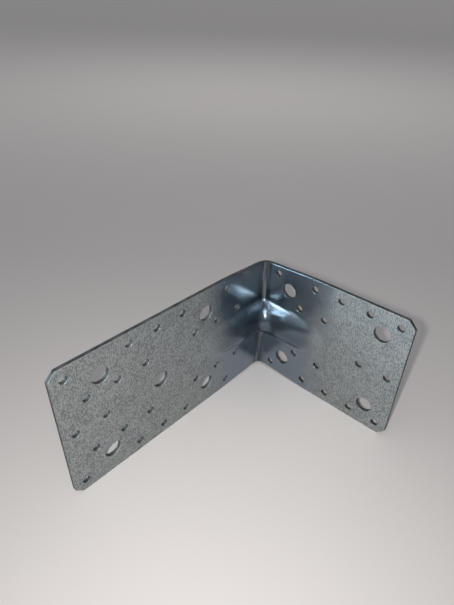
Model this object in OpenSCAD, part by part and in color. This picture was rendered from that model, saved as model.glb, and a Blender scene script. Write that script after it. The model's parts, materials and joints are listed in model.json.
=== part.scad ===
// Reinforced corner brace: one steel sheet, folded square and stiffened by a pressed rib.
// The long flange runs along +X, the short flange along +Y and the fold along +Z.
// The origin is the sharp outer corner that the two outer faces would meet in, at the lower edge.

/* [Sheet] */
// Length of the long flange, measured from the outer face of the short one
long_leg = 170; // [140:1:210]
// Length of the short flange, measured from the outer face of the long one
short_leg = 113; // [94:1:140]
// Width of both flanges, along the fold
leg_width = 95; // [79:1:120]
// Thickness of the steel sheet
sheet = 3; // [2:0.25:4]
// Radius on the inside of the fold
fold_radius = 5.5; // [4:0.5:7]
// Cut taken off each free corner, along both edges
corner_cut = 5; // [2:0.5:6]
// Depth that the edges are drawn in at the fold, where the rib pulls on the sheet
edge_draw = 1.8; // [0.4:0.2:2.4]
// Distance from the fold at which the drawn edge is straight again
draw_reach = 40; // [25:1:60]

/* [Rib] */
// Height of the rib's crest over the inner faces of both flanges, beside the fold
rib_height = 7.6; // [6:0.2:9]
// Half the width of the rib where it meets the inner faces, beside the fold
rib_half_width = 14; // [12:0.5:15]
// Radius of the flatter section that the rib runs out with at its tips
tip_radius = 26; // [20:1:32]
// Radius that the crest turns with where it passes the fold
rib_turn = 9; // [3:0.5:10]
// Distance from the outer corner to the tip of the rib on the long flange
rib_long_reach = 68; // [55:1:75]
// Distance from the outer corner to the tip of the rib on the short flange
rib_short_reach = 58; // [48:1:64]

/* [Bolt holes] */
// Diameter of the bolt holes
bolt_hole = 11; // [9:0.5:13]
// Positions of the paired bolt holes on the long flange, in steps of its hole grid
long_bolt_steps = [3, 11]; // [0:1:13]
// Position of the single bolt hole on the centre line of the long flange, in steps
long_middle_bolt_step = 7; // [6:1:8]
// Positions of the paired bolt holes on the short flange, in steps of its hole grid
short_bolt_steps = [1, 8]; // [0:1:9]

/* [Nail holes] */
// Diameter of the nail holes
nail_hole = 5; // [4:0.25:6]
// Distance from the centres of the outer nail holes to the edges beside them
edge_margin = 7.5; // [6:0.5:9]
// Distance from the last nail holes to the free ends
end_margin = 8; // [6:0.5:10]
// Metal left between the rib and the nail holes beside it
rib_margin = 3.5; // [2:0.5:5]
// Distance from the outer corner to the first holes of the long flange
long_first_hole = 32; // [28:1:38]
// Distance from the outer corner to the first holes of the short flange
short_first_hole = 15; // [13:1:18]
// Nail holes along each edge of the long flange, in steps of its hole grid
long_edge_nails = [1, 5, 7, 9, 13]; // [0:1:13]
// Nail holes in the two rows beside the rib on the long flange
long_inner_nails = [0, 2, 4, 8, 10, 12]; // [0:1:13]
// Nail holes on the centre line of the long flange
long_middle_nails = [11, 13]; // [0:1:13]
// Nail holes along each edge of the short flange, in steps of its hole grid
short_edge_nails = [0, 3, 5, 7, 9]; // [0:1:9]
// Nail holes in the two rows beside the rib on the short flange
short_inner_nails = [2, 4]; // [0:1:9]
// Nail holes on the centre line of the short flange
short_middle_nails = [7, 9]; // [0:1:9]

/* [Hidden] */
$fn = 96;

// Steps from the first to the last column of the hole grid on each flange
long_steps = 13;
short_steps = 9;
long_pitch = (long_leg - end_margin - long_first_hole) / long_steps;
short_pitch = (short_leg - end_margin - short_first_hole) / short_steps;

// Radius of the rib's round section, beside the fold
rib_radius = (pow(rib_half_width, 2) + pow(rib_height, 2)) / (2 * rib_height);

// Height of the centre line, and of the rows above and below it
middle = leg_width / 2;
edge_row = middle - edge_margin;
inner_row = rib_half_width + rib_margin + nail_hole / 2;
bolt_row = (edge_row + inner_row) / 2;

// The fold and the plane halfway through the sheet
outer_radius = fold_radius + sheet;
half_sheet = sheet / 2;

// Centre that the crest turns about, level with both flanges
turn_centre = sheet + rib_height + rib_turn;

// Overrun of every cut past the faces it goes through
over = 1;

// Facets across the rib, along each arm and along its turn, and how far past its tip an
// arm goes on below the inner face, as a share of its length
round_steps = 20;
arm_steps = 12;
turn_steps = 8;
arm_overrun = 0.04;

function long_column(step) = long_first_hole + step * long_pitch;
function short_column(step) = short_first_hole + step * short_pitch;

// Distance from the turn centre, along a ray in plan, to a rounded corner line that runs
// parallel to both flanges at this inset.
function corner_distance(angle, inset, radius) =
    let (ray = [cos(angle), sin(angle)],
         away = turn_centre - inset,
         back = (away - radius) * [1, 1],
         along = back * ray,
         straight = away / max(-ray[0], -ray[1]))
    straight * min(-ray[0], -ray[1]) <= away - radius
        ? straight
        : sqrt(pow(along, 2) - back * back + pow(radius, 2)) - along;

// One station of the rib: the crest's place in plan, the direction that its section faces
// away from, the section's radius, and the depths from the crest to the plane halfway
// through the sheet and to the outer face.
function turn_station(angle) =
    [[turn_centre, turn_centre] + rib_turn * [cos(angle), sin(angle)], angle, rib_radius,
     corner_distance(angle, half_sheet, outer_radius - half_sheet) - rib_turn,
     corner_distance(angle, 0, outer_radius) - rib_turn];

// Along an arm the crest sinks on a quarter of a cosine wave and the section flattens.
function arm_station(share, reach) =
    let (height = rib_height * cos(90 * share),
         along = turn_centre + (reach - turn_centre) * share)
    [[along, sheet + height], 270, rib_radius + (tip_radius - rib_radius) * pow(share, 2),
     height + half_sheet, height + sheet];

function mirrored(station) =
    [[station[0][1], station[0][0]], 450 - station[1], station[2], station[3], station[4]];

arm_shares = [for (i = [arm_steps:-1:1]) (1 + arm_overrun) * i / arm_steps];
short_shares = [for (i = [1:arm_steps]) (1 + arm_overrun) * i / arm_steps];
rib_stations = concat(
    [for (share = arm_shares) arm_station(share, rib_long_reach)],
    [for (i = [0:turn_steps]) turn_station(270 - 90 * i / turn_steps)],
    [for (share = short_shares) mirrored(arm_station(share, rib_short_reach))]);

// Area on the inner side of a rounded corner at [inset, inset].
module corner_area(inset, radius) {
    translate([inset + radius, inset + radius]) circle(radius);
    translate([inset + radius, inset]) square([long_leg, short_leg]);
    translate([inset, inset + radius]) square([long_leg, short_leg]);
}

// The plain folded sheet, without holes.
module folded_sheet() {
    linear_extrude(leg_width)
        difference() {
            intersection() {
                corner_area(0, outer_radius);
                square([long_leg, short_leg]);
            }
            corner_area(sheet, fold_radius);
        }
}

// Closed skin along the rib: at each station a round section, set in by this much from the
// raised side and cut off straight at a depth below the crest.
module rib_skin(inset, depths) {
    ring = round_steps + 1;
    last = len(rib_stations) - 1;
    points = [
        for (j = [0:last])
            let (station = rib_stations[j],
                 radius = station[2] - inset,
                 ray = [cos(station[1]), sin(station[1])],
                 spread = acos((station[2] - depths[j]) / radius))
            for (i = [0:round_steps])
                let (tilt = spread * (2 * i / round_steps - 1),
                     place = station[0] + (station[2] - radius * cos(tilt)) * ray)
                [place[0], place[1], middle + radius * sin(tilt)]];
    faces = concat(
        [for (j = [0:last - 1])
            for (i = [0:round_steps])
                let (next = (i + 1) % ring)
                [j * ring + next, (j + 1) * ring + next, (j + 1) * ring + i, j * ring + i]],
        [[for (i = [round_steps:-1:0]) i]],
        [[for (i = [0:round_steps]) last * ring + i]]);
    polyhedron(points, faces);
}

// The raised side of the rib, rooted halfway through the sheet.
module raised_rib() {
    rib_skin(0, [for (station = rib_stations) station[3]]);
}

// The hollow behind the rib, open through the outer faces.
module rib_hollow() {
    rib_skin(sheet, [for (station = rib_stations) station[4] + over]);
}

// A round hole through the long flange at a grid column and height.
module long_hole(step, height, diameter) {
    translate([long_column(step), -over, height])
        rotate([-90, 0, 0]) cylinder(d = diameter, h = sheet + 2 * over);
}

// A round hole through the short flange at a grid column and height.
module short_hole(step, height, diameter) {
    translate([-over, short_column(step), height])
        rotate([0, 90, 0]) cylinder(d = diameter, h = sheet + 2 * over);
}

// All bolt and nail holes of the long flange.
module long_holes() {
    for (side = [-1, 1]) {
        for (step = long_bolt_steps) long_hole(step, middle + side * bolt_row, bolt_hole);
        for (step = long_edge_nails) long_hole(step, middle + side * edge_row, nail_hole);
        for (step = long_inner_nails) long_hole(step, middle + side * inner_row, nail_hole);
    }
    long_hole(long_middle_bolt_step, middle, bolt_hole);
    for (step = long_middle_nails) long_hole(step, middle, nail_hole);
}

// All bolt and nail holes of the short flange.
module short_holes() {
    for (side = [-1, 1]) {
        for (step = short_bolt_steps) short_hole(step, middle + side * bolt_row, bolt_hole);
        for (step = short_edge_nails) short_hole(step, middle + side * edge_row, nail_hole);
        for (step = short_inner_nails) short_hole(step, middle + side * inner_row, nail_hole);
    }
    for (step = short_middle_nails) short_hole(step, middle, nail_hole);
}

// Wedges that take the corner cuts off both free ends.
module corner_cuts() {
    wedge = corner_cut * sqrt(2);
    for (height = [0, leg_width]) {
        translate([long_leg, half_sheet, height])
            rotate([0, 45, 0]) cube([wedge, sheet + 2 * over, wedge], center = true);
        translate([half_sheet, short_leg, height])
            rotate([45, 0, 0]) cube([sheet + 2 * over, wedge, wedge], center = true);
    }
}

// Shallow round cuts, across the fold, that draw the upper and lower edges in.
module edge_draws() {
    reach = draw_reach * sin(45);
    radius = (pow(reach, 2) + pow(edge_draw, 2)) / (2 * edge_draw);
    width = 2 * draw_reach;
    for (side = [-1, 1])
        translate([0, 0, middle + side * (middle - edge_draw + radius)])
            rotate([0, 0, -45]) rotate([0, 90, 0])
                cylinder(r = radius, h = width, center = true, $fn = 720);
}

module bracket() {
    color([0.62, 0.65, 0.66])
        difference() {
            union() {
                folded_sheet();
                raised_rib();
            }
            rib_hollow();
            long_holes();
            short_holes();
            corner_cuts();
            edge_draws();
        }
}

bracket();
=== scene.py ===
"""Folded and pressed corner brace of galvanised sheet, finished and staged on its frame."""

import json
import math

import bpy
import numpy as np
from bpy.props import FloatProperty, FloatVectorProperty, IntProperty, PointerProperty
from bpy.types import Operator, Panel, PropertyGroup
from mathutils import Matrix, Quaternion, Vector
from mathutils.geometry import delaunay_2d_cdt

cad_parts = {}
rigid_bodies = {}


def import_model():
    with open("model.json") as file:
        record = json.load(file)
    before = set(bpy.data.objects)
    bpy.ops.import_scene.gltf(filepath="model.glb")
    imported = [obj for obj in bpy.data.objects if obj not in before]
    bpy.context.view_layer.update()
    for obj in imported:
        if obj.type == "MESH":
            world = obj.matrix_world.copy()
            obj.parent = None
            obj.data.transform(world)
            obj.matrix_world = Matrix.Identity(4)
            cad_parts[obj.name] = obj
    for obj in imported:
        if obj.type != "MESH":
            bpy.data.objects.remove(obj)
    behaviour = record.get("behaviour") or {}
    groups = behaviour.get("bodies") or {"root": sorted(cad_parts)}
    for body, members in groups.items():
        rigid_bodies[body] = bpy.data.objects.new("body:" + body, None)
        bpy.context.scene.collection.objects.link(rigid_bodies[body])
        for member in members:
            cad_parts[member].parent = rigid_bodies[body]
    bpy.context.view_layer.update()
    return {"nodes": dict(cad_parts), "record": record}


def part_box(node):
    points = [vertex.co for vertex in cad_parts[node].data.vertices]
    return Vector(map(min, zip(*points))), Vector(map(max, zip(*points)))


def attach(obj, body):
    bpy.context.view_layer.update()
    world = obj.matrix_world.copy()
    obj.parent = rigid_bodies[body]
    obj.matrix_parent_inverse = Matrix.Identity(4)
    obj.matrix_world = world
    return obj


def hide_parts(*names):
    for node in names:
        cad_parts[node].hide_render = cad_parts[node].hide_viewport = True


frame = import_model()

bl_info = {
    "name": "Galvanised Corner Brace",
    "version": (1, 0, 0),
    "blender": (4, 5, 0),
    "location": "View3D > Sidebar > Corner Brace",
    "description": "Builds a folded and pressed corner brace on its frame, with its finish and stage",
    "category": "Add Mesh",
}

NODE = "bracket"
BODY = "root"

MM = 0.001
LOW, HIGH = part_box(NODE)
MOUNTS = {mount["name"]: mount for mount in frame["record"]["mounts"]}
SHEET_THICKNESS = MOUNTS["long_flange_middle_bolt"]["dims"]["length_mm"] * MM

DEFAULT_COLOURS = {
    "zinc": (0.36, 0.385, 0.385),
    # The burnished zinc is rubbed smooth; its blue tint is a painted sheen
    "burnished_and_sheen": (0.25, 0.30, 0.345),
    # The pressed zinc's darker blue-grey is a painted dark reflection over the rib
    "pressed": (0.132, 0.172, 0.21),
    "fleck": (0.07, 0.078, 0.085),
    # The cut edge's dark grey is bare steel, darkened further as painted shade on the cut walls of
    # holes and edges
    "cut_edge_and_shade": (0.09, 0.088, 0.084),
    "floor": (0.725, 0.685, 0.662),
}

# The rib's rounding at its foot is this share of the full blend where it runs out
TIP_BLEND_SHARE = 0.3

# Dividing the blank: how far past the rib's tips the fine points reach, the room that loose
# points keep from the outline and from holes as shares of their step, and how finely the
# flat sheet's points may come up to a hole
LONG_FINE_MARGIN = 18 * MM
SHORT_FINE_MARGIN = 16 * MM
OUTLINE_ROOM = 0.6
HOLE_ROOM = 0.7
HOLE_FINENESS = 3
ROUNDING_STEPS = 4
PLACE_DIGITS = 6
ROW_SLACK = 1e-9
INSIDE_OUTLINE = 1
MERGE_DISTANCE = 1e-6
ZINC, CUT_EDGE = 0, 1

# Noises of the materials: waves a metre, then detail and roughness
DRIFT_NOISE = (45.0, 2.0)
PATCH_NOISE = (150.0, 2.0)
MOTTLE_NOISE = (120.0, 4.0, 0.6)
RIPPLE_NOISE = (260.0,)
STREAK_NOISE = (520.0, 3.0, 0.7)
SHEAR_NOISE = (1400.0, 3.0, 0.6)
STAIN_NOISE = (160.0, 3.0, 0.6)
CLOUD_NOISE = (9.0, 3.0)

# The two grain noises repeat with the flecks' spacing, the fine one so many times closer
# together, so these are only their detail and roughness
FLECK_GRAIN = (2.0, 0.65)
FINE_GRAIN = (2.0, 0.6)
FINE_DIVISION = 2.6

# Where the zinc changes: out from the fold, up the rib, where a darker blue-grey paints the rib's
# dark reflections, and across the bend, where streaks paint shade along the fold
DULL_FROM, DULL_TO = 51 * MM, 80 * MM
DRIFT_WIDTH = 24 * MM
RIB_REFLECTION_FROM, RIB_REFLECTION_TO = 3.4 * MM, 7.0 * MM
BEND_FROM, BEND_TO = 4.5 * MM, 8.0 * MM
BEND_TOP_FROM, BEND_TOP_TO = 8.5 * MM, 12.0 * MM

# Strengths over the burnished zinc and over the dull zinc
FLECK_STRENGTH = (0.04, 0.52)
FINE_SHADE = (0.15, 0.60)
PLAIN_SHADE = (0.78, 0.55)
ZINC_ROUGHNESS = (0.17, 0.46)
FINE_RELIEF = (0.10, 0.5)
ZINC_METALLIC = (1.0, 0.80)

# Other shares of the zinc's pattern
PATCH_SHARE = 0.16
FLECK_FROM, FLECK_TO = 0.50, 0.68
MOTTLE_SHADE = 0.30
# The streaks paint shade along the fold and the rib's turn
STREAK_LENGTH_SHARE = 0.06
STREAK_FROM, STREAK_TO = 0.66, 0.40
FOLD_SHADE_DEPTH = 0.72
MOTTLE_ROUGHNESS = 0.10
FLECK_ROUGHNESS = 0.18
FLECK_RELIEF = 0.8
RIPPLE_RELIEF = 0.9
ZINC_BUMP = {"Strength": 0.5, "Distance": 0.00004}

# Sheared edges
STAIN_FROM, STAIN_TO = 0.35, 0.7
STAIN_DARKNESS = 0.5
SHEAR_LIFT = 0.5
EDGE_ROUGHNESS = (0.5, 0.7)
EDGE_METALLIC = 0.35
EDGE_SPECULAR = 0.08
EDGE_BUMP = {"Strength": 0.6, "Distance": 0.00006}

# Floor
FLOOR_SIDES = 96
FLOOR_RINGS = 17
FLOOR_SHADE = 0.965
FLOOR_ROUGHNESS = (0.45, 0.6)
FLOOR_SPECULAR = 0.35

# Places of the lights: the window and the top light from the bracket's middle, the ceiling
# light from the camera, and the back light and its aim from the frame's origin
WINDOW_OFFSET, WINDOW_SIZE = (0.84, -0.64, 0.34), (0.42, 0.42)
CEILING_OFFSET, CEILING_SIZE = (0.0, 0.0, 0.22), (0.30, 0.12)
TOP_OFFSET, TOP_SIZE = (0.90, 0.90, 2.2), (1.2, 1.2)
BACK_PLACE, BACK_AIM, BACK_SIZE = (-0.60, -0.50, 1.4), (-3.0, -2.6, 0.0), (0.8, 0.8)
LIGHT_TINTS = {
    "key": (1.0, 0.985, 0.965),
    "window": (0.58, 0.81, 1.0),
    "ceiling": (0.80, 0.91, 1.0),
    "top": (0.97, 0.98, 1.0),
    "back": (1.0, 0.99, 0.97),
}

# The glow all round: dim behind the bracket, pale on the side that it opens to
GLOW_TOWARDS = (0.88, 0.10, 0.46)
GLOW_FROM, GLOW_TO = -0.45, 0.9
GLOW_DIM = (0.10, 0.115, 0.14)
GLOW_PALE = (0.63, 0.64, 0.66)
GLOW_STRENGTH = 0.78

UP = Vector((0.0, 0.0, 1.0))
SENSOR_WIDTH = 36.0
CLIP_NEAR, CLIP_FAR = 0.01, 50.0


class SheetSettings(PropertyGroup):
    """Sizes of the folded sheet."""

    fold_radius: FloatProperty(
        name="Fold Radius",
        description="Radius on the inside of the fold",
        default=5.5 * MM, min=3 * MM, max=8 * MM, unit="LENGTH", precision=4,
    )
    corner_cut: FloatProperty(
        name="Corner Cut",
        description="Length taken off both edges at each free corner",
        default=5 * MM, min=1 * MM, max=8 * MM, unit="LENGTH", precision=4,
    )
    corner_round: FloatProperty(
        name="Corner Rounding",
        description="Distance over which the sharp ends of a corner cut are worn round",
        default=0.7 * MM, min=0.2 * MM, max=2 * MM, unit="LENGTH", precision=4,
    )
    edge_draw: FloatProperty(
        name="Edge Draw",
        description="Depth that the edges are drawn in at the fold",
        default=1.8 * MM, min=0.0, max=3 * MM, unit="LENGTH", precision=4,
    )
    draw_reach: FloatProperty(
        name="Draw Reach",
        description="Distance from the fold at which the drawn edges are straight again",
        default=46 * MM, min=20 * MM, max=70 * MM, unit="LENGTH", precision=4,
    )
    edge_roll: FloatProperty(
        name="Edge Roll",
        description="Radius that the shears and punches leave along every cut edge",
        default=0.35 * MM, min=0.1 * MM, max=0.8 * MM, unit="LENGTH", precision=5,
    )


class RibSettings(PropertyGroup):
    """Sizes of the pressed rib."""

    height: FloatProperty(
        name="Height",
        description="Height of the crest over the inner faces, beside the fold",
        default=7.6 * MM, min=4 * MM, max=10 * MM, unit="LENGTH", precision=4,
    )
    half_width: FloatProperty(
        name="Half Width",
        description="Half the width of the rib at the inner faces, beside the fold",
        default=14 * MM, min=10 * MM, max=16 * MM, unit="LENGTH", precision=4,
    )
    tip_radius: FloatProperty(
        name="Tip Radius",
        description="Radius of the flatter section that the rib runs out with",
        default=26 * MM, min=18 * MM, max=34 * MM, unit="LENGTH", precision=4,
    )
    turn: FloatProperty(
        name="Turn",
        description="Radius that the crest turns with where it passes the fold",
        default=9 * MM, min=3 * MM, max=12 * MM, unit="LENGTH", precision=4,
    )
    long_reach: FloatProperty(
        name="Long Reach",
        description="Distance from the outer corner to the rib's tip on the long flange",
        default=66 * MM, min=50 * MM, max=76 * MM, unit="LENGTH", precision=4,
    )
    short_reach: FloatProperty(
        name="Short Reach",
        description="Distance from the outer corner to the rib's tip on the short flange",
        default=57 * MM, min=45 * MM, max=66 * MM, unit="LENGTH", precision=4,
    )
    foot: FloatProperty(
        name="Foot Blend",
        description="Height over which the rib's flank is blended into the flat sheet",
        default=3.4 * MM, min=0.4 * MM, max=4 * MM, unit="LENGTH", precision=4,
    )


class MeshSettings(PropertyGroup):
    """How finely the sheet is divided."""

    pressed_step: FloatProperty(
        name="Pressed Step",
        description="Distance between points over the fold and the rib",
        default=0.9 * MM, min=0.5 * MM, max=3 * MM, unit="LENGTH", precision=5,
    )
    flat_step: FloatProperty(
        name="Flat Step",
        description="Distance between points over the flat flanges",
        default=6 * MM, min=2 * MM, max=20 * MM, unit="LENGTH", precision=4,
    )
    roll_steps: IntProperty(
        name="Roll Steps",
        description="Rows of faces across each rolled edge",
        default=3, min=1, max=6,
    )
    hole_sides: IntProperty(
        name="Hole Sides",
        description="Points round each bolt hole",
        default=64, min=24, max=128,
    )


class FinishSettings(PropertyGroup):
    """Colours and grain of the galvanised finish."""

    zinc: FloatVectorProperty(
        name="Zinc",
        description="Colour of the dull zinc on the flanges",
        default=DEFAULT_COLOURS["zinc"], subtype="COLOR", min=0.0, max=1.0,
    )
    # Rubbed-smooth zinc round the fold, with a blue tint that paints a sheen
    burnished_and_sheen: FloatVectorProperty(
        name="Burnished Zinc",
        description="Colour of the zinc that the press has rubbed smooth",
        default=DEFAULT_COLOURS["burnished_and_sheen"], subtype="COLOR", min=0.0, max=1.0,
    )
    # Its darker blue-grey paints the rib's dark reflections
    pressed: FloatVectorProperty(
        name="Pressed Zinc",
        description="Colour of the zinc that the press has stretched over the rib",
        default=DEFAULT_COLOURS["pressed"], subtype="COLOR", min=0.0, max=1.0,
    )
    fleck: FloatVectorProperty(
        name="Fleck",
        description="Colour of the small dark flecks in the zinc",
        default=DEFAULT_COLOURS["fleck"], subtype="COLOR", min=0.0, max=1.0,
    )
    # Bare steel's dark grey, darkened further to paint the shade on the cut walls
    cut_edge_and_shade: FloatVectorProperty(
        name="Cut Edge",
        description="Colour of the bare steel on sheared and punched edges",
        default=DEFAULT_COLOURS["cut_edge_and_shade"], subtype="COLOR", min=0.0, max=1.0,
    )
    fleck_width: FloatProperty(
        name="Fleck Spacing",
        description="Distance between flecks across the grain",
        default=0.7 * MM, min=0.4 * MM, max=5 * MM, unit="LENGTH", precision=4,
    )
    fleck_stretch: FloatProperty(
        name="Fleck Stretch",
        description="How much longer the flecks are along the fold than across it",
        default=2.4, min=1.0, max=6.0, subtype="FACTOR",
    )


class StageSettings(PropertyGroup):
    """Floor, lights and camera."""

    floor: FloatVectorProperty(
        name="Floor",
        description="Colour of the floor",
        default=DEFAULT_COLOURS["floor"], subtype="COLOR", min=0.0, max=1.0,
    )
    floor_flat_radius: FloatProperty(
        name="Floor Flat Radius",
        description="Radius of the flat middle of the floor",
        default=4.0, min=1.0, max=20.0, unit="LENGTH",
    )
    floor_rim_width: FloatProperty(
        name="Floor Rim Width",
        description="Width of the rising rim around the flat middle",
        default=5.0, min=1.0, max=20.0, unit="LENGTH",
    )
    floor_rim_height: FloatProperty(
        name="Floor Rim Height",
        description="Height of the rim at its outer edge",
        default=1.6, min=0.0, max=5.0, unit="LENGTH",
    )
    camera_place: FloatVectorProperty(
        name="Camera Place",
        description="Where the camera stands",
        default=(0.23100, 0.17232, 0.24777), subtype="XYZ", unit="LENGTH", precision=5,
    )
    camera_aim: FloatVectorProperty(
        name="Camera Aim",
        description="Point that the middle of the view falls on",
        default=(0.04606, 0.00619, 0.07985), subtype="XYZ", unit="LENGTH", precision=5,
    )
    camera_roll: FloatProperty(
        name="Camera Roll",
        description="Turn of the camera about its line of sight",
        default=math.radians(1.60), subtype="ANGLE",
    )
    key_offset: FloatProperty(
        name="Key Offset",
        description="Distance of the key light to the left of the camera",
        default=18 * MM, min=0.0, max=1.0, unit="LENGTH", precision=4,
    )
    key_size: FloatProperty(
        name="Key Size",
        description="Width and height of the key light",
        default=9 * MM, min=5 * MM, max=1.0, unit="LENGTH", precision=4,
    )
    key_power: FloatProperty(
        name="Key Power",
        description="Power of the key light beside the camera",
        default=0.63, min=0.0, max=100.0, unit="POWER",
    )
    back_power: FloatProperty(
        name="Back Light Power",
        description="Power of the soft light over the floor behind the bracket",
        default=9.0, min=0.0, max=100.0, unit="POWER",
    )
    ceiling_power: FloatProperty(
        name="Ceiling Light Power",
        description="Power of the pale light above the camera",
        default=0.7, min=0.0, max=100.0, unit="POWER",
    )
    window_power: FloatProperty(
        name="Window Power",
        description="Power of the cool soft light from the left",
        default=9.5, min=0.0, max=100.0, unit="POWER",
    )
    top_power: FloatProperty(
        name="Top Power",
        description="Power of the broad soft light overhead",
        default=4.0, min=0.0, max=100.0, unit="POWER",
    )
    lens: FloatProperty(
        name="Lens",
        description="Focal length on a 36 mm sensor, in millimetres",
        default=27.226, min=10.0, max=200.0, subtype="DISTANCE_CAMERA",
    )


def smooth_max(value, blend):
    """The larger of value and nothing, rounded over the blend height where they meet."""
    overlap = np.clip(1 - np.abs(value) / blend, 0, None)
    return np.maximum(value, 0) + blend * overlap ** 2 / 4


def smooth_min(first, second, radius):
    """The smaller of two distances, rounded into a hollow whose middle lies on a radius.

    The curve starts from nothing on both sides, as sheet does when it is bent.
    """
    power = 4
    middle_share = 1 - math.sqrt(0.5)
    blend = 2 * power * middle_share * radius
    overlap = np.clip(1 - np.abs(first - second) / blend, 0, None)
    return np.minimum(first, second) - blend / (2 * power) * overlap ** power


def unit(vectors):
    """Vectors scaled to length one along their last axis."""
    return vectors / np.linalg.norm(vectors, axis=-1, keepdims=True)


class FoldedSheet:
    """Takes places on the blank to places on the folded and pressed sheet.

    The blank is the inner face laid flat. A place on it is its distance across, from the
    free end of the long flange, and its height.
    """

    PROBE = 0.02 * MM
    FLANK_LIMIT = 0.94
    FAN = 34 * MM
    HALVINGS = 28

    def __init__(self, sheet, rib):
        self.sheet = sheet
        self.rib = rib
        self.thickness = SHEET_THICKNESS
        self.turn_centre = self.thickness + rib.height + rib.turn
        self.bend = self.thickness + sheet.fold_radius
        self.arc = sheet.fold_radius * math.pi / 2
        self.long_flat = HIGH[0] - self.bend
        self.width = HIGH[2]
        self.middle = self.width / 2
        self.span = self.long_flat + self.arc + HIGH[1] - self.bend
        self.fold_line = self.long_flat + self.arc / 2
        self.rib_radius = (rib.half_width ** 2 + rib.height ** 2) / (2 * rib.height)

    def across(self, flange, along):
        """Distance across the blank of a place along one flange."""
        if flange == "long":
            return HIGH[0] - along
        return self.long_flat + self.arc + along - self.bend

    def plain_fold(self, across):
        """Places in plan on the plain inner face, before the rib is pressed."""
        turned = np.clip((across - self.long_flat) / self.arc, 0, 1)
        angle = np.radians(270 - 90 * turned)
        centre = np.stack([np.maximum(HIGH[0] - across, self.bend),
                           np.maximum(across - self.long_flat - self.arc + self.bend,
                                      self.bend)], axis=-1)
        ray = np.stack([np.cos(angle), np.sin(angle)], axis=-1)
        return centre + self.sheet.fold_radius * ray

    def rise(self, along, height, reach):
        """How far one arm of the rib stands over its flange."""
        share = np.clip((along - self.turn_centre) / (reach - self.turn_centre), 0, 2)
        crest = self.rib.height * np.cos(np.pi / 2 * share)
        flatter = self.rib.tip_radius - self.rib_radius
        radius = self.rib_radius + flatter * np.minimum(share, 1) ** 2
        off_middle = np.abs(height - self.middle)
        inside = np.minimum(off_middle, self.FLANK_LIMIT * radius)
        slope = self.FLANK_LIMIT / math.sqrt(1 - self.FLANK_LIMIT ** 2)
        drop = radius - np.sqrt(radius ** 2 - inside ** 2) + slope * (off_middle - inside)
        steepness = np.clip(crest / self.rib.height, 0, 1)
        return smooth_max(crest - drop, self.rib.foot * (
            TIP_BLEND_SHARE + (1 - TIP_BLEND_SHARE) * steepness))

    def clearance(self, plan, height):
        """Distance of a place from the inner face: above nothing on the open side."""
        from_long = plan[..., 1] - self.thickness - self.rise(
            plan[..., 0], height, self.rib.long_reach)
        from_short = plan[..., 0] - self.thickness - self.rise(
            plan[..., 1], height, self.rib.short_reach)
        pressed = self.rise(np.zeros_like(height), height, self.rib.long_reach)
        wider = self.rib.turn - self.sheet.fold_radius
        radius = self.sheet.fold_radius + wider * pressed / self.rib.height
        return smooth_min(from_long, from_short, radius)

    def inner_face(self, across, height):
        """Points of the inner face, the pressed rib included."""
        start = self.plain_fold(across)
        target = np.maximum(start, self.FAN)
        ray = unit(target - start)
        near = np.full_like(across, -self.thickness / 2)
        far = np.full_like(across, 2 * self.rib.height + self.rib.turn)
        for _ in range(self.HALVINGS):
            between = (near + far) / 2
            inside = self.clearance(start + ray * between[..., None], height) < 0
            near = np.where(inside, between, near)
            far = np.where(inside, far, between)
        plan = start + ray * ((near + far) / 2)[..., None]
        return np.concatenate([plan, height[..., None]], axis=-1)

    def outward(self, points):
        """Directions out of the inner face, at points on it."""
        slopes = []
        for axis in range(3):
            step = np.zeros(3)
            step[axis] = self.PROBE
            ahead, behind = points + step, points - step
            slopes.append(self.clearance(ahead[:, :2], ahead[:, 2])
                          - self.clearance(behind[:, :2], behind[:, 2]))
        return unit(np.stack(slopes, axis=-1))

    def along_blank(self, across, height, direction):
        """Directions on the inner face of directions on the blank, at each place."""
        step = direction * self.PROBE
        ahead = self.inner_face(across + step[:, 0], height + step[:, 1])
        behind = self.inner_face(across - step[:, 0], height - step[:, 1])
        return unit(ahead - behind)

    def edge_inset(self, across):
        """How far the long edges are drawn in at a distance across the blank."""
        share = np.clip(np.abs(across - self.fold_line) / self.sheet.draw_reach, 0, 1)
        return self.sheet.edge_draw * np.cos(np.pi / 2 * share) ** 2


def rounded_corners(points, cut):
    """A closed outline with each marked corner replaced by a small curve."""
    result = []
    count = len(points)
    for index, (point, sharp) in enumerate(points):
        if not sharp:
            result.append(point)
            continue
        before = points[index - 1][0]
        after = points[(index + 1) % count][0]
        start = point + unit(before - point) * cut
        end = point + unit(after - point) * cut
        for step in range(ROUNDING_STEPS + 1):
            share = step / ROUNDING_STEPS
            result.append(start * (1 - share) ** 2 + point * 2 * share * (1 - share)
                          + end * share ** 2)
    return np.array(result)


def blank_outline(folded, step):
    """Outline of the flat blank: drawn edges at the fold and cuts at the free corners."""
    cut = folded.sheet.corner_cut
    run = np.arange(cut, folded.span - cut, step)[1:]
    near_fold = np.abs(run - folded.fold_line) < folded.sheet.draw_reach + step
    run = run[near_fold]
    inset = folded.edge_inset(run)
    far = folded.span
    top = folded.width
    points = [(np.array([cut, 0.0]), True)]
    points += [(np.array([x, y]), False) for x, y in zip(run, inset)]
    points += [(np.array([far - cut, 0.0]), True), (np.array([far, cut]), True),
               (np.array([far, top - cut]), True), (np.array([far - cut, top]), True)]
    points += [(np.array([x, top - y]), False) for x, y in zip(run[::-1], inset[::-1])]
    points += [(np.array([cut, top]), True), (np.array([0.0, top - cut]), True),
               (np.array([0.0, cut]), True)]
    return rounded_corners(points, folded.sheet.corner_round)


def inward_normals(loop, into_left):
    """Directions into the metal at each point of a closed loop on the blank."""
    along = unit(np.roll(loop, -1, axis=0) - np.roll(loop, 1, axis=0))
    left = np.stack([-along[:, 1], along[:, 0]], axis=-1)
    return left if into_left else -left


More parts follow.
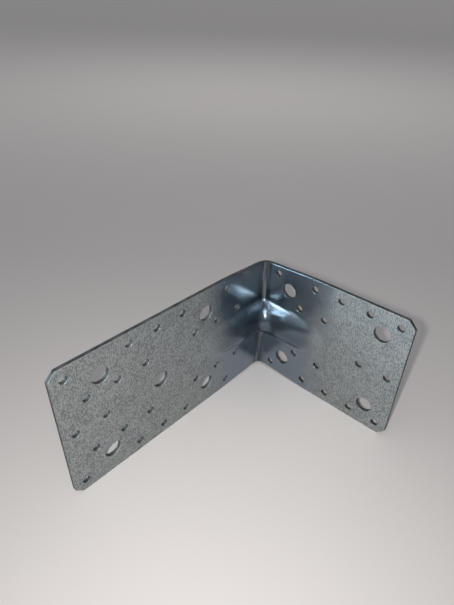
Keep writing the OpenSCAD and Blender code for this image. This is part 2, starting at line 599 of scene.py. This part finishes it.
def punched_holes(folded):
    """Centre on the blank and radius of every hole, from the frame's mounts."""
    holes = {}
    for mount in MOUNTS.values():
        if mount["kind"] not in {"bolt_pattern", "bore"}:
            continue
        flange = "long" if abs(mount["axis"][1]) > abs(mount["axis"][0]) else "short"
        x, y, height = mount["pos_m"]
        dims = mount["dims"]
        radius = dims.get("hole_r_mm", dims.get("r_mm")) * MM
        half_along = dims.get("spacing_x_mm", 0) * MM / 2
        half_up = dims.get("spacing_y_mm", 0) * MM / 2
        for side in (-1, 1):
            for level in (-1, 1):
                along = (x if flange == "long" else y) + side * half_along
                centre = (round(folded.across(flange, along), PLACE_DIGITS),
                          round(height + level * half_up, PLACE_DIGITS))
                holes[centre] = radius
    return [(np.array(centre), radius) for centre, radius in holes.items()]


def hole_loop(centre, radius, sides):
    """Closed loop of points round a hole."""
    turn = np.linspace(0, 2 * math.pi, sides, endpoint=False)
    return centre + radius * np.stack([np.cos(turn), np.sin(turn)], axis=-1)


def filling_points(folded, outline, holes, settings, roll):
    """Loose points between the outline and the holes, close together where it is pressed."""
    rib = folded.rib
    pressed_from = folded.across("long", rib.long_reach + LONG_FINE_MARGIN)
    pressed_to = folded.across("short", rib.short_reach + SHORT_FINE_MARGIN)
    fine = settings.pressed_step
    coarse = settings.flat_step
    columns = np.concatenate([
        np.arange(coarse / 2, pressed_from - fine, coarse),
        np.arange(pressed_from, pressed_to, fine),
        np.arange(pressed_to + fine, folded.span, coarse)])
    points = []
    for column in columns:
        pressed = pressed_from <= column <= pressed_to
        step = fine if pressed else coarse
        inset = float(folded.edge_inset(np.array([column]))[0])
        cut = max(0.0, folded.sheet.corner_cut - min(column, folded.span - column))
        margin = max(inset, cut) + roll + step * OUTLINE_ROOM
        height = folded.width - 2 * margin
        rows = np.arange(margin, folded.width - margin + ROW_SLACK, height / round(height / step))
        points.append(np.stack([np.full_like(rows, column), rows], axis=-1))
    points = np.concatenate(points)
    keep = np.ones(len(points), bool)
    for centre, radius in holes:
        distance = np.linalg.norm(points - centre, axis=-1)
        near_fine = (points[:, 0] >= pressed_from) & (points[:, 0] <= pressed_to)
        step = np.where(near_fine, fine, coarse / HOLE_FINENESS)
        keep &= distance > radius + roll + step * HOLE_ROOM
    return points[keep]


def face_the_normals(faces, points, normals):
    """Faces turned so that each winds round its points' own normals."""
    corners = points[faces]
    facing = np.cross(corners[:, 1] - corners[:, 0], corners[:, 2] - corners[:, 0])
    wrong = np.einsum("ij,ij->i", facing, normals[faces].sum(axis=1)) < 0
    faces[wrong] = faces[wrong][:, ::-1]
    return faces


def sheet_mesh(folded, settings):
    """Points, normals, faces and face materials of the whole pressed sheet."""
    roll = folded.sheet.edge_roll
    thick = folded.thickness
    holes = punched_holes(folded)
    outline = blank_outline(folded, settings.pressed_step)
    loops = [(outline, inward_normals(outline, True))]
    bolt_radius = max(radius for _, radius in holes)
    for centre, radius in holes:
        sides = settings.hole_sides if radius == bolt_radius else settings.hole_sides // 2
        loop = hole_loop(centre, radius, sides)
        loops.append((loop, inward_normals(loop, False)))

    rim = np.concatenate([loop for loop, _ in loops])
    rim_inward = np.concatenate([inward for _, inward in loops])
    rim_count = len(rim)
    following = []
    for loop, _ in loops:
        start = sum(len(part) for part in following)
        following.append(start + np.roll(np.arange(len(loop)), -1))
    following = np.concatenate(following)

    loose = filling_points(folded, outline, holes, settings, roll)
    flat = np.concatenate([rim + rim_inward * roll, loose])
    edges = list(enumerate(following.tolist()))
    cdt = delaunay_2d_cdt([Vector(p / MM) for p in flat], edges, [], INSIDE_OUTLINE,
                          MERGE_DISTANCE)
    if len(cdt[0]) != len(flat):
        raise RuntimeError("the blank's points were merged while it was divided")
    order = np.array([source[0] for source in cdt[3]])
    triangles = order[np.array(cdt[2])]
    middles = flat[triangles].mean(axis=1)
    solid = np.ones(len(triangles), bool)
    for centre, radius in holes:
        solid &= np.linalg.norm(middles - centre, axis=-1) > radius
    triangles = triangles[solid]

    inner = folded.inner_face(flat[:, 0], flat[:, 1])
    outward = folded.outward(inner)
    inner_count = len(flat)
    points = [inner, inner - outward * thick]
    normals = [outward, -outward]
    faces = [triangles, triangles + inner_count]

    quarter = np.linspace(0, math.pi / 2, settings.roll_steps + 1)
    profile = [(roll * (1 - math.sin(a)), roll * (1 - math.cos(a)), a) for a in quarter[1:]]
    profile += [(offset, thick - depth, math.pi - a) for offset, depth, a in profile[::-1]]
    wall_row = settings.roll_steps
    rows = [np.arange(rim_count)]
    for index, (offset, depth, tilt) in enumerate(profile):
        ring = rim + rim_inward * offset
        face = folded.inner_face(ring[:, 0], ring[:, 1])
        out = folded.outward(face)
        away = -folded.along_blank(ring[:, 0], ring[:, 1], rim_inward)
        points.append(face - out * depth)
        normals.append(out * math.cos(tilt) + away * math.sin(tilt))
        rows.append(np.arange(rim_count) + 2 * inner_count + index * rim_count)
    rows.append(np.arange(rim_count) + inner_count)
    quads, quad_materials = [], []
    for index, (upper, lower) in enumerate(zip(rows, rows[1:])):
        quads.append(np.stack([upper, upper[following], lower[following], lower], axis=-1))
        quad_materials.append(np.full(rim_count, CUT_EDGE if index == wall_row else ZINC))
    points = np.concatenate(points)
    normals = np.concatenate(normals)
    triangles = face_the_normals(np.concatenate(faces), points, normals)
    quads = face_the_normals(np.concatenate(quads), points, normals)
    faces = triangles.tolist() + quads.tolist()
    materials = np.concatenate([np.full(len(triangles), ZINC), *quad_materials])
    return points, normals, faces, materials


def mesh_object(name, points, normals, faces, materials):
    """A smooth mesh object with the given normals."""
    mesh = bpy.data.meshes.new(name)
    mesh.from_pydata(points.tolist(), [], faces)
    mesh.polygons.foreach_set("material_index", materials.astype(np.int32))
    mesh.polygons.foreach_set("use_smooth", np.ones(len(faces), bool))
    mesh.update()
    mesh.normals_split_custom_set_from_vertices(unit(normals).tolist())
    piece = bpy.data.objects.new(name, mesh)
    bpy.context.scene.collection.objects.link(piece)
    return piece


class NodeSketch:
    """Short calls for laying out a material's nodes."""

    def __init__(self, tree):
        self.tree = tree

    def node(self, kind, inputs=None, **settings):
        """One node with its settings, and its inputs as values or links."""
        made = self.tree.nodes.new(kind)
        for key, value in settings.items():
            setattr(made, key, value)
        for key, value in (inputs or {}).items():
            socket = made.inputs[key]
            if isinstance(value, bpy.types.NodeSocket):
                self.tree.links.new(value, socket)
            else:
                socket.default_value = value
        return made

    def math(self, operation, first, second=0.5, clamp=False):
        """Result of one step of arithmetic."""
        return self.node("ShaderNodeMath", {0: first, 1: second}, operation=operation,
                         use_clamp=clamp).outputs[0]

    def mix(self, factor, first, second):
        """Two numbers mixed by a factor."""
        made = self.node("ShaderNodeMix", {0: factor, 2: first, 3: second}, data_type="FLOAT")
        return made.outputs[0]

    def mix_colour(self, factor, first, second, blend="MIX"):
        """Two colours mixed by a factor."""
        made = self.node("ShaderNodeMix", {0: factor, 6: first, 7: second},
                         data_type="RGBA", blend_type=blend)
        return made.outputs[2]

    def ramp(self, value, low, high):
        """A value brought from the range low to high into nought to one, smoothly."""
        made = self.node("ShaderNodeMapRange", {0: value, 1: low, 2: high, 3: 0.0, 4: 1.0},
                         interpolation_type="SMOOTHSTEP")
        return made.outputs[0]

    def noise(self, place, scale, detail=2.0, rough=0.5):
        """Soft noise at so many waves a metre."""
        return self.node("ShaderNodeTexNoise", {"Vector": place, "Scale": scale,
                                                "Detail": detail, "Roughness": rough}).outputs[0]


def new_material(name):
    """An empty node material, its sketch and its surface shader."""
    material = bpy.data.materials.new(name)
    material.use_nodes = True
    sketch = NodeSketch(material.node_tree)
    return material, sketch, material.node_tree.nodes["Principled BSDF"]


def colour(values):
    """A colour with its alpha."""
    return (*values, 1.0)


def zinc_material(finish):
    """Galvanised sheet: flecked and dull on the flanges, rubbed smooth round fold and rib, with a
    painted blue sheen there, a painted dark reflection over the rib and painted shade along the fold.
    """
    material, sketch, surface = new_material("Galvanised Zinc")
    tree = material.node_tree
    place = sketch.node("ShaderNodeTexCoord").outputs["Object"]
    parts = sketch.node("ShaderNodeSeparateXYZ", {0: place})
    from_fold = sketch.math("MAXIMUM", parts.outputs[0], parts.outputs[1])
    drift = sketch.noise(place, *DRIFT_NOISE)
    drifted = sketch.math("ADD", from_fold, sketch.math("MULTIPLY", drift, DRIFT_WIDTH))
    dull = sketch.ramp(drifted, DULL_FROM, DULL_TO)

    squeeze = 1.0 / finish.fleck_stretch
    grain = sketch.node("ShaderNodeVectorMath", {0: place, 1: (1.0, 1.0, squeeze)},
                        operation="MULTIPLY").outputs[0]
    pitch = 1.0 / finish.fleck_width
    patches = sketch.noise(place, *PATCH_NOISE)
    specks = sketch.noise(grain, pitch, *FLECK_GRAIN)
    specks = sketch.math("ADD", specks, sketch.math("MULTIPLY", patches, PATCH_SHARE))
    flecks = sketch.ramp(specks, FLECK_FROM, FLECK_TO)
    flecks = sketch.math("MULTIPLY", flecks, sketch.mix(dull, *FLECK_STRENGTH))

    mottle = sketch.noise(place, *MOTTLE_NOISE)
    fine = sketch.noise(grain, FINE_DIVISION * pitch, *FINE_GRAIN)
    # Over the rib the zinc is painted a darker blue-grey that stands for its dark reflections; round
    # the fold the burnished zinc's blue tint paints a sheen
    rib_reflection_zone = sketch.ramp(sketch.math("MINIMUM", parts.outputs[0], parts.outputs[1]),
                         RIB_REFLECTION_FROM, RIB_REFLECTION_TO)
    smooth = sketch.mix_colour(rib_reflection_zone, colour(finish.burnished_and_sheen), colour(finish.pressed))
    base = sketch.mix_colour(dull, smooth, colour(finish.zinc))
    shade = sketch.math("ADD", sketch.math("MULTIPLY", mottle, MOTTLE_SHADE),
                        sketch.math("MULTIPLY", fine, sketch.mix(dull, *FINE_SHADE)))
    shade = sketch.math("ADD", shade, sketch.mix(dull, *PLAIN_SHADE))

    # Painted shade along the fold and the rib's turn, broken into streaks that darken the zinc there
    off_fold = sketch.math("SUBTRACT", parts.outputs[0], parts.outputs[1])
    lengthways = sketch.math("MULTIPLY", parts.outputs[2], STREAK_LENGTH_SHARE)
    strip = sketch.node("ShaderNodeCombineXYZ", {0: off_fold, 2: lengthways})
    streaks = sketch.noise(strip.outputs[0], *STREAK_NOISE)
    fold_shade_zone = sketch.math("SUBTRACT", 1.0, sketch.ramp(
        sketch.math("ABSOLUTE", off_fold), BEND_FROM, BEND_TO))
    fold_shade_zone = sketch.math("SUBTRACT", fold_shade_zone, sketch.ramp(from_fold, BEND_TOP_FROM, BEND_TOP_TO),
                       clamp=True)
    fold_shade_streaks = sketch.math("MULTIPLY", fold_shade_zone, sketch.ramp(streaks, STREAK_FROM, STREAK_TO))
    fold_shade_factor = sketch.math("SUBTRACT", 1.0, sketch.math("MULTIPLY", fold_shade_streaks, FOLD_SHADE_DEPTH))
    shade = sketch.math("MULTIPLY", shade, fold_shade_factor)
    shaded = sketch.node("ShaderNodeVectorMath", {0: base, 1: shade}, operation="MULTIPLY")
    toned = sketch.mix_colour(flecks, shaded.outputs[0], colour(finish.fleck))
    tree.links.new(toned, surface.inputs["Base Color"])

    rough = sketch.mix(dull, *ZINC_ROUGHNESS)
    rough = sketch.math("ADD", rough, sketch.math("MULTIPLY", mottle, MOTTLE_ROUGHNESS))
    rough = sketch.math("ADD", rough, sketch.math("MULTIPLY", flecks, FLECK_ROUGHNESS),
                        clamp=True)
    tree.links.new(rough, surface.inputs["Roughness"])

    ripple = sketch.noise(place, *RIPPLE_NOISE)
    relief = sketch.math("MULTIPLY", fine, sketch.mix(dull, *FINE_RELIEF))
    relief = sketch.math("SUBTRACT", relief, sketch.math("MULTIPLY", flecks, FLECK_RELIEF))
    relief = sketch.math("ADD", relief, sketch.math("MULTIPLY", ripple, RIPPLE_RELIEF))
    bump = sketch.node("ShaderNodeBump", {**ZINC_BUMP, "Height": relief})
    tree.links.new(bump.outputs[0], surface.inputs["Normal"])
    tree.links.new(sketch.mix(dull, *ZINC_METALLIC), surface.inputs["Metallic"])
    return material


def cut_edge_material(finish):
    """Bare steel on sheared and punched edges, with a fine grain and darker stains; its dark grey is
    darkened further to paint the shade on the cut walls of holes and edges.
    """
    material, sketch, surface = new_material("Sheared Steel")
    tree = material.node_tree
    place = sketch.node("ShaderNodeTexCoord").outputs["Object"]
    grain = sketch.noise(place, *SHEAR_NOISE)
    stain = sketch.noise(place, *STAIN_NOISE)
    dark = tuple(value * STAIN_DARKNESS for value in finish.cut_edge_and_shade)
    stained = sketch.ramp(stain, STAIN_FROM, STAIN_TO)
    base = sketch.mix_colour(stained, colour(finish.cut_edge_and_shade), colour(dark))
    shade = sketch.math("ADD", grain, SHEAR_LIFT)
    shaded = sketch.node("ShaderNodeVectorMath", {0: base, 1: shade}, operation="MULTIPLY")
    tree.links.new(shaded.outputs[0], surface.inputs["Base Color"])
    tree.links.new(sketch.mix(stain, *EDGE_ROUGHNESS), surface.inputs["Roughness"])
    bump = sketch.node("ShaderNodeBump", {**EDGE_BUMP, "Height": grain})
    tree.links.new(bump.outputs[0], surface.inputs["Normal"])
    surface.inputs["Metallic"].default_value = EDGE_METALLIC
    surface.inputs["Specular IOR Level"].default_value = EDGE_SPECULAR
    return material


def floor_material(settings):
    """Smooth pale board with a faint unevenness."""
    material, sketch, surface = new_material("Pale Board")
    tree = material.node_tree
    place = sketch.node("ShaderNodeTexCoord").outputs["Object"]
    cloud = sketch.noise(place, *CLOUD_NOISE)
    darker = tuple(value * FLOOR_SHADE for value in settings.floor)
    base = sketch.mix_colour(cloud, colour(settings.floor), colour(darker))
    tree.links.new(base, surface.inputs["Base Color"])
    tree.links.new(sketch.mix(cloud, *FLOOR_ROUGHNESS), surface.inputs["Roughness"])
    surface.inputs["Specular IOR Level"].default_value = FLOOR_SPECULAR
    return material


class BRACE_OT_bracket(Operator):
    """Build the pressed sheet in place of its plain frame part"""

    bl_idname = "brace.bracket"
    bl_label = "Bracket"

    def execute(self, context):
        settings = context.scene.brace
        folded = FoldedSheet(settings.sheet, settings.rib)
        points, normals, faces, materials = sheet_mesh(folded, settings.mesh)
        piece = mesh_object("pressed_bracket", points, normals, faces, materials)
        zinc = zinc_material(settings.finish)
        piece.data.materials.append(zinc)
        piece.data.materials.append(cut_edge_material(settings.finish))
        plain = frame["nodes"][NODE]
        plain.data.materials.clear()
        plain.data.materials.append(zinc)
        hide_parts(NODE)
        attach(piece, BODY)
        return {"FINISHED"}


def round_floor(settings):
    """A wide round floor, flat in the middle, that rises softly at its rim like a dish."""
    angles = np.linspace(0.0, 2.0 * math.pi, FLOOR_SIDES, endpoint=False)
    shares = np.linspace(0.0, 1.0, FLOOR_RINGS)
    radii = settings.floor_flat_radius + settings.floor_rim_width * shares
    heights = settings.floor_rim_height * shares ** 2
    rings = np.stack([np.outer(radii, np.cos(angles)), np.outer(radii, np.sin(angles)),
                      np.outer(heights, np.ones(FLOOR_SIDES))], axis=2)
    faces = [tuple(range(FLOOR_SIDES))]
    for start in range(0, (FLOOR_RINGS - 1) * FLOOR_SIDES, FLOOR_SIDES):
        for side in range(FLOOR_SIDES):
            onward = (side + 1) % FLOOR_SIDES
            faces.append((start + side, start + FLOOR_SIDES + side,
                          start + FLOOR_SIDES + onward, start + onward))
    mesh = bpy.data.meshes.new("studio_floor")
    mesh.from_pydata(rings.reshape(-1, 3).tolist(), [], faces)
    mesh.shade_smooth()
    mesh.materials.append(floor_material(settings))
    floor = bpy.data.objects.new("studio_floor", mesh)
    bpy.context.scene.collection.objects.link(floor)
    return floor


def soft_light(name, place, aim, size, power):
    """One rectangular soft light at a place, pointing at its aim."""
    data = bpy.data.lights.new(f"{name}_light", "AREA")
    data.shape = "RECTANGLE"
    data.size, data.size_y = size
    data.energy = power
    data.color = LIGHT_TINTS[name]
    light = bpy.data.objects.new(f"{name}_light", data)
    light.location = place
    light.rotation_mode = "QUATERNION"
    light.rotation_quaternion = (Vector(aim) - Vector(place)).to_track_quat("-Z", "Y")
    bpy.context.scene.collection.objects.link(light)
    return light


def room_lights(settings, floor):
    """The small key beside the camera and the soft lights of the room."""
    centre = (LOW + HIGH) / 2
    eye = Vector(settings.camera_place)
    left = UP.cross(Vector(settings.camera_aim) - eye).normalized()
    soft_light("key", eye + left * settings.key_offset, centre,
               (settings.key_size, settings.key_size), settings.key_power)
    window = soft_light("window", centre + Vector(WINDOW_OFFSET), centre, WINDOW_SIZE,
                        settings.window_power)
    ceiling = soft_light("ceiling", eye + Vector(CEILING_OFFSET), centre, CEILING_SIZE,
                         settings.ceiling_power)
    bracket_only = bpy.data.collections.new("bracket_only")
    for piece in bpy.context.scene.objects:
        if piece.type == "MESH" and piece is not floor:
            bracket_only.objects.link(piece)
    for light in (window, ceiling):
        light.light_linking.receiver_collection = bracket_only
    soft_light("top", centre + Vector(TOP_OFFSET), centre, TOP_SIZE, settings.top_power)
    soft_light("back", BACK_PLACE, BACK_AIM, BACK_SIZE, settings.back_power)


def room_glow():
    """Pale light from the side that the bracket opens to, dim behind it."""
    world = bpy.data.worlds.new("Studio")
    bpy.context.scene.world = world
    world.use_nodes = True
    sketch = NodeSketch(world.node_tree)
    direction = sketch.node("ShaderNodeTexCoord").outputs["Generated"]
    towards = sketch.node("ShaderNodeVectorMath", {0: direction, 1: GLOW_TOWARDS},
                          operation="DOT_PRODUCT").outputs["Value"]
    lit = sketch.ramp(towards, GLOW_FROM, GLOW_TO)
    tint = sketch.mix_colour(lit, colour(GLOW_DIM), colour(GLOW_PALE))
    background = world.node_tree.nodes["Background"]
    world.node_tree.links.new(tint, background.inputs["Color"])
    background.inputs["Strength"].default_value = GLOW_STRENGTH


def aimed_camera(settings):
    """The camera at its place, aimed and rolled."""
    data = bpy.data.cameras.new("camera")
    data.sensor_width = SENSOR_WIDTH
    data.lens = settings.lens
    data.clip_start, data.clip_end = CLIP_NEAR, CLIP_FAR
    camera = bpy.data.objects.new("camera", data)
    camera.location = settings.camera_place
    camera.rotation_mode = "QUATERNION"
    view = Vector(settings.camera_aim) - Vector(settings.camera_place)
    turn = Quaternion(UP, settings.camera_roll)
    camera.rotation_quaternion = view.to_track_quat("-Z", "Y") @ turn
    bpy.context.scene.collection.objects.link(camera)
    return camera


class BRACE_OT_stage(Operator):
    """Set up the floor, the soft lights and the camera"""

    bl_idname = "brace.stage"
    bl_label = "Stage"

    def execute(self, context):
        settings = context.scene.brace.stage
        floor = round_floor(settings)
        room_lights(settings, floor)
        room_glow()
        context.scene.view_settings.view_transform = "Standard"
        context.scene.camera = aimed_camera(settings)
        return {"FINISHED"}


class BraceSettings(PropertyGroup):
    """All settings of the corner brace."""

    sheet: PointerProperty(type=SheetSettings)
    rib: PointerProperty(type=RibSettings)
    mesh: PointerProperty(type=MeshSettings)
    finish: PointerProperty(type=FinishSettings)
    stage: PointerProperty(type=StageSettings)


class BRACE_PT_panel(Panel):
    """Settings and steps of the corner brace"""

    bl_idname = "BRACE_PT_panel"
    bl_label = "Corner Brace"
    bl_space_type = "VIEW_3D"
    bl_region_type = "UI"
    bl_category = "Corner Brace"

    def draw(self, context):
        settings = context.scene.brace
        for title in ("sheet", "rib", "mesh", "finish", "stage"):
            box = self.layout.box()
            box.label(text=title.title())
            group = getattr(settings, title)
            for name in group.__annotations__:
                box.prop(group, name)
        self.layout.operator(BRACE_OT_bracket.bl_idname)
        self.layout.operator(BRACE_OT_stage.bl_idname)


CLASSES = (SheetSettings, RibSettings, MeshSettings, FinishSettings, StageSettings,
           BraceSettings, BRACE_OT_bracket, BRACE_OT_stage, BRACE_PT_panel)


def register():
    for cls in CLASSES:
        bpy.utils.register_class(cls)
    bpy.types.Scene.brace = PointerProperty(type=BraceSettings)


def unregister():
    del bpy.types.Scene.brace
    for cls in reversed(CLASSES):
        bpy.utils.unregister_class(cls)


def main():
    register()
    bpy.ops.brace.bracket()
    bpy.ops.brace.stage()


if __name__ == "__main__":
    main()
